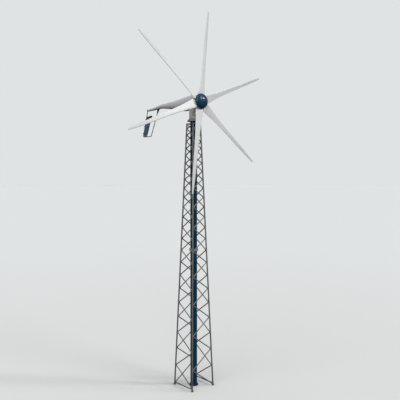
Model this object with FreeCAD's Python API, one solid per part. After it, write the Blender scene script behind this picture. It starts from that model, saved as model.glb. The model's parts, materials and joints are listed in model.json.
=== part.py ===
"""Small wind turbine on a lattice-braced pole, all its pieces in one shared frame.

Millimetres. The origin is on the ground on the tower's centre line, +Z is up, the rotor
faces -Y and the tail points to +Y. The rotor shaft is raised a few degrees at the front.
"""
import FreeCAD
import Part

import math
import os

V = FreeCAD.Vector

# ---------------------------------------------------------------- lattice tower
LEG_RADIUS = 16.85
LEG_WALL = 3.2
LEG_HALF_SPACING_BOTTOM = 310.0      # leg centre to tower centre, along X and along Y
LEG_HALF_SPACING_TOP = 107.0
LATTICE_TOP = 5960.0
FOOT_RADIUS = 27.0
FOOT_PLATE = 12.0
FOOT_COLLAR_TOP = 34.0
FOOT_COLLAR_RADIUS = 23.0
ANCHOR_HOLE_RADIUS = 9.0

BAR_RADIUS = 12.0                    # the bent lacing bar
BAR_BEND_RADIUS = 24.0
BAR_TO_LEG_GAP = 0.9
BAY_APEX = 8639.0                    # bay heights shrink towards this height
BAY_RATIO = 0.9072                   # each bay against the one below it
BAY_COUNT = 12
FIRST_NODE_NEAR = 458.0              # first bend on the near leg of a face
FIRST_NODE_FAR = 52.0                # first bend on the far leg of a face
LAST_NODE = 5914.0
SETTLING_ROUNDS = 6
TOP_TIE_HEIGHT = 5946.0

# ---------------------------------------------------------------- centre pole
POLE_RADIUS = 76.2
POLE_WALL = 5.0
FLANGE_RADIUS = 100.0
FLANGE_BOLT_CIRCLE = 176.0
FLANGE_BOLT_COUNT = 8
FLANGE_HOLE_RADIUS = 5.5
FLANGE_BOLT_RADIUS = 5.0
BASE_HOLE_RADIUS = 7.0
BASE_FLANGE_HEIGHT = 26.0
MID_JOINT = 3104.0                   # height where the two pole lengths meet
MID_FLANGE_HEIGHT = 25.0
POLE_TOP = 6000.0
SPACER_HEIGHT = 28.0
SPACER_THICKNESS = 6.0

# ---------------------------------------------------------------- yaw head
HEAD_PLATE_RADIUS = 146.0
HEAD_PLATE_THICKNESS = 14.0
HEAD_BOLT_CIRCLE = 236.0
HEAD_BOLT_COUNT = 6
HEAD_BOLT_RADIUS = 6.0
HEAD_BOLT_START = 30.0               # degrees round from +X
YAW_BASE_RIM = 6.0
YAW_BASE_TOP = 6058.0
YAW_BASE_TOP_RADIUS = 104.0
CABLE_BORE = 32.0
SPINDLE_RADIUS = 45.0
SPINDLE_BOTTOM = 6026.0
SPINDLE_TOP = 6274.0
YAW_HOUSING_BOTTOM = 6062.0
YAW_HOUSING_TOP = 6280.0
YAW_HOUSING_RADIUS = 102.5
YAW_HOUSING_BORE = 90.0
YAW_BEARING_HEIGHT = 22.0
YAW_BEARING_BOTTOMS = (6072.0, 6232.0)
YAW_BEARING_SPLIT = 57.0             # running radius between inner and outer ring
YAW_BEARING_OUTER = 72.0
SLIP_RING_HEIGHTS = (6130.0, 6160.0, 6190.0)
SLIP_RING_RADIUS = 59.0
SLIP_RING_HEIGHT = 12.0
SLIP_RING_THICKNESS = 5.0
SLEEVE_OVERHANG = 16.0
BRUSH_OVERHANG = 10.0
RUNNING_GAP = 0.05
FIT_GAP = 0.02

# ---------------------------------------------------------------- rotor and shaft line
HUB_Y = -235.6
HUB_Z = 6429.0
SHAFT_TILT = 3.0                     # degrees, front end up
BLADE_COUNT = 6
FIRST_BLADE_ANGLE = 9.0              # clockwise from upright, seen from the front
ROTOR_RADIUS = 2075.0
BLADE_PITCH_ROOT = 10.0
BLADE_PITCH_TIP = 6.0
CHORD_TIP = 66.0
CHORD_TAPER = 64.0
CHORD_FLARE = 160.0
CHORD_FLARE_POWER = 6
TIP_START = 1600.0                   # outside this radius the blade narrows faster
TIP_NARROWING = 0.45
WEDGE_WIDTH = 1.04                   # blade width per radius where the six roots meet
BLADE_STATIONS = (150.0, 190.0, 250.0, 360.0, 540.0, 820.0, 1200.0, 1600.0, 1790.0, 1940.0,
                  ROTOR_RADIUS)
AIRFOIL_STEPS = 12
THICKNESS_TIP = 0.19                 # aerofoil thickness as a fraction of the chord
THICKNESS_FALL = 0.115               # how much thinner that fraction is at the root
BLUNT_TAIL = 0.04                    # half thickness of the blunt trailing edge, per chord
CAMBER = 0.10
STACKING = 0.45                      # blade axis, as a fraction of the chord from the nose
STACKING_RISE = 0.02
ROOT_INNER = 62.0
ROOT_OUTER = 185.0
ROOT_THICKNESS = 16.0
HUB_DISC_RADIUS = 148.0
HUB_PLATE_THICKNESS = 12.0
CLAMP_PLATE_THICKNESS = 8.0
ROOT_MARGIN = 4.0                    # flat part of the root outside the hub discs
BLADE_BOLT_RADIUS = 5.0
BLADE_BOLT_GAP = 0.3
BLADE_BOLT_PLACES = ((86.0, 0.0), (128.0, -34.0), (128.0, 34.0))
SPINNER_RADIUS = 168.5
SPINNER_RIM = -24.0
SPINNER_DEPTH = 94.0
SPINNER_CORNER = 60.0                # radius of the arc that meets the rim
SPINNER_NOSE = ((SPINNER_RADIUS - SPINNER_CORNER) ** 2 + SPINNER_DEPTH ** 2 - SPINNER_CORNER ** 2) / (
    2 * (SPINNER_DEPTH - SPINNER_CORNER))
SPINNER_WALL = 3.0
SPINNER_LIP = 6.0
SPINNER_POST_CIRCLE = 92.0
SPINNER_POST_COUNT = 3
SPINNER_POST_START = FIRST_BLADE_ANGLE + 30
SPINNER_SCREW_HOLE = 4.3
SHAFT_RADIUS = 25.0
SHAFT_MIDDLE_RADIUS = 29.0
SHAFT_END = 334.0

# ---------------------------------------------------------------- generator, on the shaft line
CASE_RADIUS = 130.0
CASE_WALL = 11.0
CASE_FRONT = 76.0
CASE_REAR = 296.0
BELL_THICKNESS = 18.0
BEARING_WIDTH = 18.0
BEARING_OUTER = 46.0
BEARING_SPLIT = 32.0
STATOR_BORE = 88.0
STATOR_FRONT = 116.0
STATOR_LENGTH = 140.0
MAGNET_RADIUS = 85.5
MAGNET_THICKNESS = 6.0
MAGNET_COUNT = 12
UPRIGHT_FRONT = 316.0
UPRIGHT_THICKNESS = 16.0
UPRIGHT_RADIUS = 118.0
SADDLE_WIDTH = 92.0
SOCKET_LENGTH = 130.0
SPAR_RADIUS = 16.8
SPAR_OFFSET = 88.5                   # above the shaft line
SPAR_END = 1992.0
SPAR_WALL = 3.2

# ---------------------------------------------------------------- fairing along +Y
SHELL_WALL = 3.5
TAIL_CONE_WALL = 2.0
SHELL_FRONT = -192.0
SHELL_REAR = 1030.0
SHELL_SPLIT = 6430.0
TAIL_CONE_REAR = 1738.0
# distance behind the tower centre, height of the middle, half height, half width
FAIRING_SECTIONS = (
    (-192.0, 6427.0, 158.0, 158.0),
    (100.0, 6425.0, 165.0, 160.0),
    (300.0, 6416.0, 154.0, 146.0),
    (747.0, 6436.5, 93.0, 85.0),
    (1016.0, 6451.0, 64.0, 60.0),
    (1254.0, 6450.5, 46.0, 44.0),
    (1457.0, 6429.0, 36.5, 36.0),
    (1600.0, 6420.5, 31.0, 30.5),
    (1738.0, 6412.5, 26.5, 26.0),
)

# ---------------------------------------------------------------- tail vane
FRAME_RADIUS = 10.0
FRAME_BEND = 34.0
# distance behind the tower centre and height of the bent frame tube's centre line
FRAME_REAR_TOP = (1760.0, 6400.0)
FRAME_REAR_BOTTOM = (1957.0, 5767.0)
FRAME_FRONT_BOTTOM = (1618.0, 5765.0)
FRAME_FRONT_TOP = (1307.0, 6424.0)
BOOT_TOP_RADIUS = 32.0               # black conical boot where the front tube meets the tail cone
BOOT_BOTTOM_RADIUS = 13.5
BOOT_LENGTH = 118.0
END_CAP_RADIUS = 24.0
END_CAP_LENGTH = 14.0
PANEL_THICKNESS = 3.0
TRIM_THICKNESS = 12.0
TRIM_OUT = 4.0
TRIM_IN = 10.0
TRIM_PULL_BACK = 18.0
PANEL_TOP_FRONT = (1590.0, 6271.0)
PANEL_TOP_REAR = (1794.0, 6257.0)
PANEL_BOTTOM_REAR = (1935.0, 5802.0)
PANEL_BOTTOM_FRONT = (1787.0, 5802.0)


def cylinder(radius, height, base=V(0, 0, 0), direction=V(0, 0, 1)):
    return Part.makeCylinder(radius, height, base, direction)


def ring(outer, inner, height, base=V(0, 0, 0), direction=V(0, 0, 1)):
    return cylinder(outer, height, base, direction).cut(cylinder(inner, height, base, direction))


def hexagon(across_flats, height, base, direction=V(0, 0, 1)):
    radius = across_flats / math.sqrt(3)
    corners = [V(radius * math.cos(math.radians(60 * k)), radius * math.sin(math.radians(60 * k)), 0)
               for k in range(7)]
    prism = Part.Face(Part.makePolygon(corners)).extrude(V(0, 0, height))
    prism.Placement = FreeCAD.Placement(base, FreeCAD.Rotation(V(0, 0, 1), direction))
    return prism


def turned(points, axis=V(0, 0, 1)):
    """Solid of revolution from (radius, height) points, about Z or about Y."""
    if axis.y:
        corners = [V(radius, height, 0) for radius, height in points]
    else:
        corners = [V(radius, 0, height) for radius, height in points]
    return Part.Face(Part.makePolygon(corners + [corners[0]])).revolve(V(0, 0, 0), axis, 360)


def around(shape, count, axis=V(0, 0, 1), start=0.0):
    copies = []
    for k in range(count):
        copy = shape.copy()
        copy.rotate(V(0, 0, 0), axis, start + 360.0 * k / count)
        copies.append(copy)
    return copies


def group(shapes):
    return Part.makeCompound(shapes)


def bent_path(points, bend):
    """Wire of straight runs with rounded corners of one bend radius."""
    edges = []
    start = points[0]
    for before, corner, after in zip(points, points[1:], points[2:]):
        back = (before - corner).normalize()
        ahead = (after - corner).normalize()
        half_angle = back.getAngle(ahead) / 2
        setback = bend / math.tan(half_angle)
        inward = (back + ahead).normalize()
        middle = corner + inward * (bend / math.sin(half_angle) - bend)
        edges.append(Part.makeLine(start, corner + back * setback))
        edges.append(Part.Arc(corner + back * setback, middle, corner + ahead * setback).toShape())
        start = corner + ahead * setback
    edges.append(Part.makeLine(start, points[-1]))
    return Part.Wire(edges)


def bent_bar(points, bend, radius):
    path = bent_path(points, bend)
    direction = (points[1] - points[0]).normalize()
    profile = Part.Wire(Part.makeCircle(radius, points[0], direction))
    return path.makePipeShell([profile], True, False)


def on_shaft(shape):
    """Move a shape drawn about a level shaft at the origin onto the tilted shaft line."""
    placed = shape.copy()
    placed.rotate(V(0, 0, 0), V(1, 0, 0), -SHAFT_TILT)
    placed.translate(V(0, HUB_Y, HUB_Z))
    return placed


# ---------------------------------------------------------------- lattice tower pieces
def leg_half_spacing(height):
    shrink = (LEG_HALF_SPACING_BOTTOM - LEG_HALF_SPACING_TOP) / LATTICE_TOP
    return LEG_HALF_SPACING_BOTTOM - shrink * height


def leg_point(side_x, side_y, height):
    half = leg_half_spacing(height)
    return V(side_x * half, side_y * half, height)


def leg_rod(side_x, side_y, radius):
    """Leaning round rod, longer than the leg at both ends."""
    bottom = leg_point(side_x, side_y, -50.0)
    top = leg_point(side_x, side_y, LATTICE_TOP + 50.0)
    return cylinder(radius, (top - bottom).Length, bottom, top - bottom)


def leg(side_x, side_y):
    tube = leg_rod(side_x, side_y, LEG_RADIUS).cut(leg_rod(side_x, side_y, LEG_RADIUS - LEG_WALL))
    keep = Part.makeBox(1000, 1000, LATTICE_TOP - FOOT_PLATE, V(-500, -500, FOOT_PLATE))
    return tube.common(keep)


def foot(side_x, side_y):
    half = leg_half_spacing(0)
    centre = V(side_x * half, side_y * half, 0)
    collar_height = FOOT_COLLAR_TOP - FOOT_PLATE
    collar = cylinder(FOOT_COLLAR_RADIUS, collar_height, centre + V(0, 0, FOOT_PLATE))
    plate = cylinder(FOOT_RADIUS, FOOT_PLATE, centre)
    collar = collar.cut(leg_rod(side_x, side_y, LEG_RADIUS + FIT_GAP))
    return plate.fuse(collar).cut(cylinder(ANCHOR_HOLE_RADIUS, FOOT_PLATE, centre))


def bay_node(first, index):
    return BAY_APEX - (BAY_APEX - first) * BAY_RATIO ** index


def lacing(bottom_run):
    """Bent bar of the face between the near leg (-x, -y) and the far leg (+x, -y)."""
    nodes = [(-1, FIRST_NODE_FAR)] if bottom_run else []
    for index in range(BAY_COUNT):
        nodes.append((1, bay_node(FIRST_NODE_FAR, index)))
        nodes.append((-1, bay_node(FIRST_NODE_NEAR, index)))
    nodes.append((1, LAST_NODE))
    clear = LEG_RADIUS + BAR_RADIUS + BAR_TO_LEG_GAP
    insets = [clear] * len(nodes)
    # each corner moves so that its rounded bend just reaches the leg; this settles in a few rounds
    for settling_round in range(SETTLING_ROUNDS):
        points = [leg_point(side, -1, height) - V(side * inset, 0, 0)
                  for (side, height), inset in zip(nodes, insets)]
        for k in range(1, len(nodes) - 1):
            back = (points[k - 1] - points[k]).normalize()
            ahead = (points[k + 1] - points[k]).normalize()
            centre_distance = BAR_BEND_RADIUS / math.sin(back.getAngle(ahead) / 2)
            inward_share = -nodes[k][0] * (back + ahead).normalize().x
            insets[k] = clear + BAR_BEND_RADIUS - centre_distance * inward_share
    return bent_bar(points, BAR_BEND_RADIUS, BAR_RADIUS)


def top_tie():
    """Round tie between two legs, its ends coped to the legs."""
    half = leg_half_spacing(TOP_TIE_HEIGHT)
    tie = cylinder(BAR_RADIUS, 2 * half, V(-half, -half, TOP_TIE_HEIGHT), V(1, 0, 0))
    rods = [leg_rod(side, -1, LEG_RADIUS + FIT_GAP) for side in (-1, 1)]
    outside = [Part.makeBox(LEG_RADIUS, 4 * LEG_RADIUS, 4 * LEG_RADIUS,
                            V(corner, -half - 2 * LEG_RADIUS, TOP_TIE_HEIGHT - 2 * LEG_RADIUS))
               for corner in (-half, half - LEG_RADIUS)]
    return tie.cut(group(rods)).cut(group(outside))


def pole_spacer():
    tie_face = leg_half_spacing(TOP_TIE_HEIGHT) - BAR_RADIUS
    plate = Part.makeBox(SPACER_THICKNESS, tie_face, SPACER_HEIGHT,
                         V(-SPACER_THICKNESS / 2, -tie_face, TOP_TIE_HEIGHT - SPACER_HEIGHT / 2))
    return plate.cut(cylinder(POLE_RADIUS, POLE_TOP))


# ---------------------------------------------------------------- centre pole pieces
def pole_length(bottom, top):
    return ring(POLE_RADIUS, POLE_RADIUS - POLE_WALL, top - bottom, V(0, 0, bottom))


def drilled_flange(bottom, height, hole_radius):
    """Flange ring welded round the outside of the pole."""
    disc = ring(FLANGE_RADIUS, POLE_RADIUS, height, V(0, 0, bottom))
    hole = cylinder(hole_radius, height, V(FLANGE_BOLT_CIRCLE / 2, 0, bottom))
    return disc.cut(group(around(hole, FLANGE_BOLT_COUNT)))


def bolt_with_nut(radius, across_flats, head, nut, start, direction, grip):
    """Bolt through a grip that begins at start, its nut at the far end and 3 mm of thread showing."""
    shank = cylinder(radius, grip + nut + 3.0, start, direction)
    bolt_head = hexagon(across_flats, head, start - direction * head, direction)
    return shank.fuse(bolt_head).fuse(hexagon(across_flats, nut, start + direction * grip, direction))


def mid_flange_bolts():
    bolt = bolt_with_nut(FLANGE_BOLT_RADIUS, 16.0, 6.5, 8.0,
                         V(FLANGE_BOLT_CIRCLE / 2, 0, MID_JOINT - MID_FLANGE_HEIGHT), V(0, 0, 1),
                         2 * MID_FLANGE_HEIGHT)
    return group(around(bolt, FLANGE_BOLT_COUNT))


# ---------------------------------------------------------------- yaw head pieces
def head_plate():
    plate = ring(HEAD_PLATE_RADIUS, CABLE_BORE, HEAD_PLATE_THICKNESS, V(0, 0, POLE_TOP))
    hole = cylinder(HEAD_BOLT_RADIUS + 0.5, HEAD_PLATE_THICKNESS, V(HEAD_BOLT_CIRCLE / 2, 0, POLE_TOP))
    return plate.cut(group(around(hole, HEAD_BOLT_COUNT, start=HEAD_BOLT_START)))


def head_bolts():
    place = V(HEAD_BOLT_CIRCLE / 2, 0, POLE_TOP)
    bolt = cylinder(HEAD_BOLT_RADIUS, 28.0, place).fuse(hexagon(18.0, 7.5, place - V(0, 0, 7.5)))
    return group(around(bolt, HEAD_BOLT_COUNT, start=HEAD_BOLT_START))


def yaw_base():
    bottom = POLE_TOP + HEAD_PLATE_THICKNESS
    body = turned([(CABLE_BORE, bottom), (HEAD_PLATE_RADIUS, bottom),
                   (HEAD_PLATE_RADIUS, bottom + YAW_BASE_RIM),
                   (YAW_BASE_TOP_RADIUS, YAW_BASE_TOP), (SPINDLE_RADIUS + FIT_GAP, YAW_BASE_TOP),
                   (SPINDLE_RADIUS + FIT_GAP, SPINDLE_BOTTOM), (CABLE_BORE, SPINDLE_BOTTOM)])
    hole = cylinder(HEAD_BOLT_RADIUS + FIT_GAP, 16.0, V(HEAD_BOLT_CIRCLE / 2, 0, bottom))
    return body.cut(group(around(hole, HEAD_BOLT_COUNT, start=HEAD_BOLT_START)))


def yaw_spindle():
    return ring(SPINDLE_RADIUS, CABLE_BORE, SPINDLE_TOP - SPINDLE_BOTTOM, V(0, 0, SPINDLE_BOTTOM))


def yaw_bearing_inner_rings():
    return group([ring(YAW_BEARING_SPLIT - RUNNING_GAP, SPINDLE_RADIUS + FIT_GAP, YAW_BEARING_HEIGHT,
                       V(0, 0, bottom)) for bottom in YAW_BEARING_BOTTOMS])


def yaw_bearing_outer_rings():
    return [ring(YAW_BEARING_OUTER, YAW_BEARING_SPLIT, YAW_BEARING_HEIGHT, V(0, 0, bottom))
            for bottom in YAW_BEARING_BOTTOMS]


def yaw_lock_nut():
    bottom = YAW_BEARING_BOTTOMS[1] + YAW_BEARING_HEIGHT
    nut = ring(55.0, SPINDLE_RADIUS + FIT_GAP, 14.0, V(0, 0, bottom))
    notch = Part.makeBox(8.0, 8.0, 14.0, V(49.0, -4.0, bottom))
    return nut.cut(group(around(notch, 4)))


def yaw_housing():
    """Cast column that turns on the spindle, with a seat for each bearing."""
    seat = YAW_BEARING_OUTER + FIT_GAP
    lower, upper = YAW_BEARING_BOTTOMS
    lip = YAW_BEARING_OUTER - 7.0
    profile = [(seat, YAW_HOUSING_BOTTOM), (YAW_HOUSING_RADIUS, YAW_HOUSING_BOTTOM),
               (YAW_HOUSING_RADIUS, YAW_HOUSING_TOP), (lip, YAW_HOUSING_TOP),
               (lip, upper + YAW_BEARING_HEIGHT), (seat, upper + YAW_BEARING_HEIGHT),
               (seat, upper), (YAW_HOUSING_BORE, upper - 20.0),
               (YAW_HOUSING_BORE, lower + YAW_BEARING_HEIGHT + 20.0),
               (lip, lower + YAW_BEARING_HEIGHT + 6.0), (lip, lower + YAW_BEARING_HEIGHT),
               (seat, lower + YAW_BEARING_HEIGHT)]
    return turned(profile)


def slip_ring_sleeve():
    bottom = SLIP_RING_HEIGHTS[0] - SLEEVE_OVERHANG
    height = SLIP_RING_HEIGHTS[-1] + SLIP_RING_HEIGHT + SLEEVE_OVERHANG - bottom
    return ring(SLIP_RING_RADIUS - SLIP_RING_THICKNESS, SPINDLE_RADIUS + FIT_GAP, height, V(0, 0, bottom))


def slip_rings():
    inner = SLIP_RING_RADIUS - SLIP_RING_THICKNESS + FIT_GAP
    return group([ring(SLIP_RING_RADIUS, inner, SLIP_RING_HEIGHT, V(0, 0, bottom))
                  for bottom in SLIP_RING_HEIGHTS])


def brush_block():
    """Block on the housing wall with one brush reaching to each ring."""
    bottom = SLIP_RING_HEIGHTS[0] - BRUSH_OVERHANG
    height = SLIP_RING_HEIGHTS[-1] + SLIP_RING_HEIGHT + BRUSH_OVERHANG - bottom
    block = Part.makeBox(24.0, 40.0, height, V(66.0, -20.0, bottom))
    for ring_bottom in SLIP_RING_HEIGHTS:
        brush = Part.makeBox(10.0, 12.0, SLIP_RING_HEIGHT - 4.0, V(58.0, -6.0, ring_bottom + 2.0))
        block = block.fuse(brush)
    block = block.cut(cylinder(SLIP_RING_RADIUS + 0.3, height, V(0, 0, bottom)))
    return block.common(cylinder(YAW_HOUSING_BORE - FIT_GAP, height, V(0, 0, bottom)))


# ---------------------------------------------------------------- rotor pieces
def blade_chord(radius):
    reach = 1 - radius / ROTOR_RADIUS
    chord = CHORD_TIP + CHORD_TAPER * reach + CHORD_FLARE * reach ** CHORD_FLARE_POWER
    outermost = max(0.0, (radius - TIP_START) / (ROTOR_RADIUS - TIP_START))
    return min(chord * (1 - TIP_NARROWING * outermost ** 2), WEDGE_WIDTH * radius)


def blade_pitch(radius):
    return BLADE_PITCH_TIP + (BLADE_PITCH_ROOT - BLADE_PITCH_TIP) * (1 - radius / ROTOR_RADIUS)


def half_thickness(along, ratio):
    """Half thickness of an aerofoil of unit chord, at a distance from its nose."""
    return 5 * ratio * (0.2969 * math.sqrt(along) - 0.126 * along - 0.3516 * along ** 2
                        + 0.2843 * along ** 3 - 0.1015 * along ** 4)


def airfoil(radius):
    """Closed aerofoil outline across the blade at one radius."""
    chord = blade_chord(radius)
    ratio = THICKNESS_TIP - THICKNESS_FALL * (1 - radius / ROTOR_RADIUS) ** 3
    upper = []
    lower = []
    for k in range(AIRFOIL_STEPS + 1):
        along = (1 - math.cos(math.pi * k / AIRFOIL_STEPS)) / 2
        camber = CAMBER * along * (1 - along)
        half = half_thickness(along, ratio) + BLUNT_TAIL * along
        upper.append((along, camber + half))
        lower.append((along, camber - half))
    outline = upper[::-1] + lower[1:]
    pitch = math.radians(blade_pitch(radius))
    points = []
    for along, rise in outline:
        x = (along - STACKING) * chord
        y = (rise - STACKING_RISE) * chord
        points.append(V(x * math.cos(pitch) - y * math.sin(pitch),
                        x * math.sin(pitch) + y * math.cos(pitch), radius))
    curve = Part.BSplineCurve()
    curve.interpolate(points)
    return Part.Wire([curve.toShape(), Part.makeLine(points[-1], points[0])])


def blade_root():
    """Flat wedge-shaped root clamped between the hub plates."""
    inner = WEDGE_WIDTH * ROOT_INNER / 2
    outer = WEDGE_WIDTH * HUB_DISC_RADIUS / 2
    neck = blade_chord(ROOT_OUTER) * 0.40
    corners = [V(-inner, 0, ROOT_INNER), V(inner, 0, ROOT_INNER), V(outer, 0, HUB_DISC_RADIUS),
               V(neck, 0, ROOT_OUTER), V(-neck, 0, ROOT_OUTER), V(-outer, 0, HUB_DISC_RADIUS),
               V(-inner, 0, ROOT_INNER)]
    plate = Part.Face(Part.makePolygon(corners)).extrude(V(0, ROOT_THICKNESS, 0))
    plate.translate(V(0, -ROOT_THICKNESS / 2, 0))
    return plate


def bolt_hole_rods(radius, front, rear):
    return [cylinder(radius, rear - front, V(across, front, out), V(0, 1, 0))
            for out, across in BLADE_BOLT_PLACES]


def blade():
    """One blade standing upright on its hub, its nose to -X and forward."""
    vane = Part.makeLoft([airfoil(radius) for radius in BLADE_STATIONS], True, False)
    width = 2 * ROOT_OUTER
    slab = Part.makeBox(width, ROOT_THICKNESS, ROOT_OUTER, V(-width / 2, -ROOT_THICKNESS / 2, 0))
    hub_zone = cylinder(HUB_DISC_RADIUS + ROOT_MARGIN, 60.0, V(0, -30.0, 0), V(0, 1, 0))
    whole = vane.cut(hub_zone.cut(slab)).fuse(blade_root())
    holes = bolt_hole_rods(BLADE_BOLT_RADIUS + BLADE_BOLT_GAP, -30.0, 30.0)
    return whole.cut(group(holes)).removeSplitter()


def blade_angle(index):
    return FIRST_BLADE_ANGLE - 360.0 * index / BLADE_COUNT


def at_blade(shape, index):
    """Turn a shape drawn for an upright blade to the angle of one blade."""
    turned_shape = shape.copy()
    turned_shape.rotate(V(0, 0, 0), V(0, 1, 0), blade_angle(index))
    return turned_shape


def hub_disc(front, thickness, bore):
    disc = ring(HUB_DISC_RADIUS, bore, thickness, V(0, front, 0), V(0, 1, 0))
    for index in range(BLADE_COUNT):
        rods = group(bolt_hole_rods(BLADE_BOLT_RADIUS + BLADE_BOLT_GAP, front - 1, front + thickness + 1))
        disc = disc.cut(at_blade(rods, index))
    return disc


def hub_plate():
    front = ROOT_THICKNESS / 2
    boss_length = 16.0
    boss = ring(46.0, SHAFT_RADIUS + FIT_GAP, boss_length, V(0, front + HUB_PLATE_THICKNESS, 0),
                V(0, 1, 0))
    return hub_disc(front, HUB_PLATE_THICKNESS, SHAFT_RADIUS + FIT_GAP).fuse(boss)


def at_posts(shape):
    """Copies of a shape at each of the spinner's posts."""
    return group(around(shape, SPINNER_POST_COUNT, V(0, 1, 0), SPINNER_POST_START))


def clamp_plate():
    disc = hub_disc(-ROOT_THICKNESS / 2 - CLAMP_PLATE_THICKNESS, CLAMP_PLATE_THICKNESS, 42.0)
    return disc.cut(at_posts(cylinder(SPINNER_SCREW_HOLE, 40.0, V(0, -40.0, SPINNER_POST_CIRCLE / 2),
                                      V(0, 1, 0))))


def blade_bolts():
    front = -ROOT_THICKNESS / 2 - CLAMP_PLATE_THICKNESS
    rear = ROOT_THICKNESS / 2 + HUB_PLATE_THICKNESS
    bolts = [bolt_with_nut(BLADE_BOLT_RADIUS, 16.0, 6.5, 8.0, V(across, front, out), V(0, 1, 0),
                           rear - front) for out, across in BLADE_BOLT_PLACES]
    return group([at_blade(bolt, index) for index in range(BLADE_COUNT) for bolt in bolts])


def dome_face(inset):
    """Meridian points of the spinner, drawn in by inset: rim, blend between its two arcs, nose."""
    corner_centre = V(SPINNER_RADIUS - SPINNER_CORNER, 0, 0)
    nose_centre = V(0, SPINNER_NOSE - SPINNER_DEPTH, 0)
    outward = (corner_centre - nose_centre).normalize()
    blend = corner_centre + outward * (SPINNER_CORNER - inset)
    turn = math.atan2(-outward.y, outward.x)
    on_corner = corner_centre + V(math.cos(turn / 2), -math.sin(turn / 2), 0) * (SPINNER_CORNER - inset)
    lean = (math.pi / 2 - turn) / 2
    on_nose = nose_centre + V(math.sin(lean), -math.cos(lean), 0) * (SPINNER_NOSE - inset)
    rim = V(SPINNER_RADIUS - inset, 0, 0)
    nose = V(0, inset - SPINNER_DEPTH, 0)
    return rim, on_corner, blend, on_nose, nose


def spinner():
    """Thin dome of two tangent arcs with a short straight lip at its rim."""
    edges = []
    for inset in (0.0, SPINNER_WALL):
        rim, on_corner, blend, on_nose, nose = dome_face(inset)
        lip = rim + V(0, SPINNER_LIP, 0)
        edges.append(Part.makeLine(lip, rim))
        edges.append(Part.Arc(rim, on_corner, blend).toShape())
        edges.append(Part.Arc(blend, on_nose, nose).toShape())
    edges.append(Part.makeLine(V(0, -SPINNER_DEPTH, 0), V(0, SPINNER_WALL - SPINNER_DEPTH, 0)))
    edges.append(Part.makeLine(V(SPINNER_RADIUS, SPINNER_LIP, 0),
                               V(SPINNER_RADIUS - SPINNER_WALL, SPINNER_LIP, 0)))
    outline = Part.Wire(Part.__sortEdges__(edges))
    shell = Part.Face(outline).revolve(V(0, 0, 0), V(0, 1, 0), 360)
    shell.translate(V(0, SPINNER_RIM - SPINNER_LIP, 0))
    return shell.cut(at_posts(cylinder(SPINNER_SCREW_HOLE, 200.0, V(0, -200.0, SPINNER_POST_CIRCLE / 2),
                                       V(0, 1, 0))))


def spinner_face_at(out, inset):
    """Where the spinner's outer (inset 0) or inner face lies at a distance from the shaft line."""
    bulge = math.sqrt((SPINNER_NOSE - inset) ** 2 - out ** 2)
    return SPINNER_RIM - SPINNER_LIP + SPINNER_NOSE - SPINNER_DEPTH - bulge


def spinner_posts():
    """Three threaded posts from the clamp plate to the inside of the spinner."""
    rear = -ROOT_THICKNESS / 2 - CLAMP_PLATE_THICKNESS
    tip = spinner_face_at(SPINNER_POST_CIRCLE / 2 + 8.0, SPINNER_WALL) + 0.5
    post = cylinder(8.0, rear - tip, V(0, tip, SPINNER_POST_CIRCLE / 2), V(0, 1, 0))
    stud = cylinder(4.0, 14.0, V(0, rear, SPINNER_POST_CIRCLE / 2), V(0, 1, 0))
    bore = cylinder(4.1, 16.0, V(0, tip, SPINNER_POST_CIRCLE / 2), V(0, 1, 0))
    return at_posts(post.fuse(stud).cut(bore))


def spinner_screws():
    face = spinner_face_at(SPINNER_POST_CIRCLE / 2 - 8.0, 0.0)
    head = cylinder(8.0, 3.0, V(0, face - 3.2, SPINNER_POST_CIRCLE / 2), V(0, 1, 0))
    shank = cylinder(4.0, 22.0, V(0, face - 1.0, SPINNER_POST_CIRCLE / 2), V(0, 1, 0))
    return at_posts(head.fuse(shank))


def main_shaft():
    nose = -ROOT_THICKNESS / 2 - CLAMP_PLATE_THICKNESS - 22.0
    shoulder = ROOT_THICKNESS / 2 + HUB_PLATE_THICKNESS + 16.0
    rear_step = bearing_fronts()[1]
    return turned([(0, nose), (SHAFT_RADIUS, nose), (SHAFT_RADIUS, shoulder),
                   (SHAFT_MIDDLE_RADIUS, shoulder), (SHAFT_MIDDLE_RADIUS, rear_step),
                   (SHAFT_RADIUS, rear_step), (SHAFT_RADIUS, SHAFT_END), (0, SHAFT_END)],
                  V(0, 1, 0))


def shaft_nut():
    front = -ROOT_THICKNESS / 2 - CLAMP_PLATE_THICKNESS - 18.0
    rear = ROOT_THICKNESS / 2
    nut = hexagon(66.0, 18.0, V(0, front, 0), V(0, 1, 0))
    sleeve = cylinder(36.0, rear - front, V(0, front, 0), V(0, 1, 0))
    bore = cylinder(SHAFT_RADIUS + FIT_GAP, 80.0, V(0, front - 1, 0), V(0, 1, 0))
    return nut.fuse(sleeve).cut(bore)


# ---------------------------------------------------------------- generator pieces
def shaft_ring(outer, inner, front, length):
    return ring(outer, inner, length, V(0, front, 0), V(0, 1, 0))


def bearing_fronts():
    return (CASE_FRONT - BELL_THICKNESS + 4.0, CASE_REAR - 4.0)


def generator_case():
    return shaft_ring(CASE_RADIUS, CASE_RADIUS - CASE_WALL, CASE_FRONT, CASE_REAR - CASE_FRONT)


def end_bell(front, bearing_front):
    bell = shaft_ring(CASE_RADIUS, BEARING_SPLIT + 4.0, front, BELL_THICKNESS)
    boss = shaft_ring(BEARING_OUTER + 14.0, BEARING_SPLIT + 4.0, bearing_front - 4.0,
                      BEARING_WIDTH + 8.0)
    seat = cylinder(BEARING_OUTER + FIT_GAP, BEARING_WIDTH, V(0, bearing_front, 0), V(0, 1, 0))
    return bell.fuse(boss).cut(seat)


def generator_end_bells():
    front, rear = bearing_fronts()
    return group([end_bell(CASE_FRONT - BELL_THICKNESS, front), end_bell(CASE_REAR, rear)])


def main_bearings_outer():
    return group([shaft_ring(BEARING_OUTER, BEARING_SPLIT, front, BEARING_WIDTH)
                  for front in bearing_fronts()])


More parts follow.
